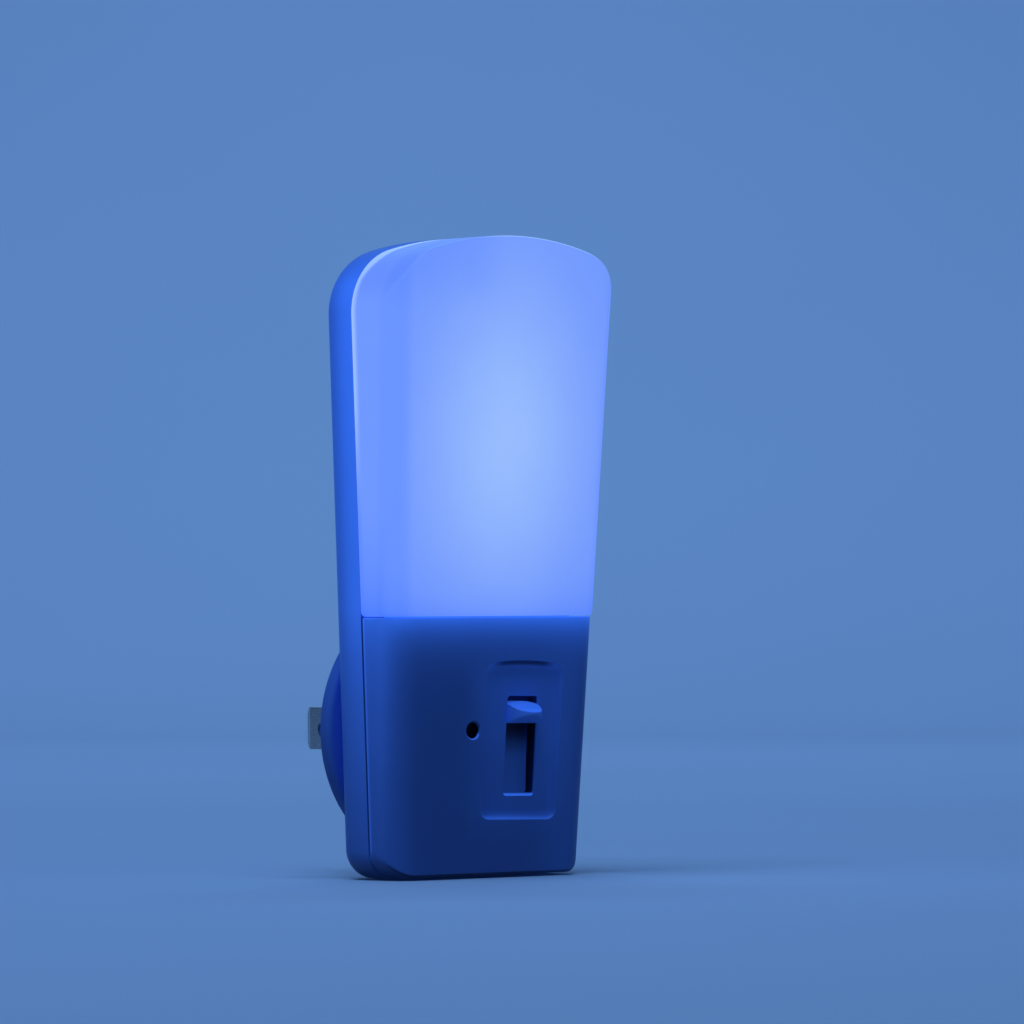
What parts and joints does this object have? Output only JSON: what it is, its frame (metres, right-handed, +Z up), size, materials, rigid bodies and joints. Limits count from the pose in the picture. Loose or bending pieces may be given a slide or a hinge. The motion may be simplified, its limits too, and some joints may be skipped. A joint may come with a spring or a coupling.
{
  "type": "plug-in night light",
  "caption": "Plug-in LED night light: milky diffuser over a cover with light sensor and slide dimmer, on a rear shell that swivels on a round two-blade plug base.",
  "frame": {"origin": "midway between the two blades on the rear face of the plug base, the face that meets the outlet", "axes": "+Y into the outlet along the blades, front of the light towards -Y, +Z up along the housing, +X to the right of someone facing the light"},
  "size_m": [0.0438, 0.0417, 0.0951],
  "materials": {
    "shell_white": "satin moulded ABS, fine texture",
    "base_white": "satin moulded ABS",
    "milky_diffuser": "milky polycarbonate, satin, lit blue from inside",
    "nickel_brass": "nickel-plated brass",
    "contact_brass": "phosphor bronze strip",
    "copper": "copper track",
    "screw_steel": "zinc-plated steel",
    "spring_steel": "spring steel",
    "tinned_steel": "tinned steel sheet",
    "tinned_wire": "tinned wire",
    "black_plastic": "moulded black",
    "black_rubber": "matt sleeve",
    "board_green": "green solder mask on glass-epoxy",
    "board_white": "white solder mask",
    "track_board": "phenolic board with carbon track",
    "capacitor_amber": "epoxy-filled box",
    "capacitor_sleeve": "shrink sleeve",
    "resistor_green": "flameproof coating",
    "cell_ceramic": "cadmium sulphide cell face",
    "tray_white": "white reflector plastic",
    "strip_white": "thin white polyester film",
    "chip_phosphor": "clear silicone over the die",
    "lead_red": "vinyl insulation"
  },
  "bodies": {
    "plug": {"plug_base": "base_white", "plug_blades": "nickel_brass", "blade_rivets": "contact_brass", "contact_springs": "contact_brass", "swivel_retainer": "black_plastic", "retainer_screws": "screw_steel", "friction_washer": "spring_steel"},
    "housing": {"rear_shell": "shell_white", "front_cover": "shell_white", "diffuser": "milky_diffuser", "housing_screws": "screw_steel", "inner_slip_ring": "copper", "outer_slip_ring": "copper", "main_board": "board_green", "board_screws": "screw_steel", "film_capacitor": "capacitor_amber", "smoothing_capacitor": "capacitor_sleeve", "fuse_resistor": "resistor_green", "bleed_resistor": "black_plastic", "bridge_rectifier": "black_plastic", "driver_chip": "black_plastic", "photocell": "cell_ceramic", "photocell_leads": "tinned_wire", "sensor_sleeve": "black_rubber", "dimmer_case": "tinned_steel", "dimmer_track": "track_board", "dimmer_pins": "tinned_wire", "slot_plate": "tray_white", "reflector_tray": "tray_white", "led_board": "board_white", "led_chips": "chip_phosphor", "led_leads": "lead_red", "led_board_screws": "screw_steel"},
    "knob": {"dimmer_carriage": "tray_white", "dimmer_wiper": "contact_brass", "dust_strip": "strip_white", "slide_knob": "shell_white"}
  },
  "joints": [
    {"name": "plug_swivel", "type": "hinge", "parent": "plug", "child": "housing", "pos_m": [0, 0, 0], "axis": [0, 1, 0], "range_deg": [-90, 90]},
    {"name": "dimmer_slide", "type": "slide", "parent": "housing", "child": "knob", "axis": [-0.0209, 0, -0.9998], "range_m": [0, 0.01]}
  ]
}
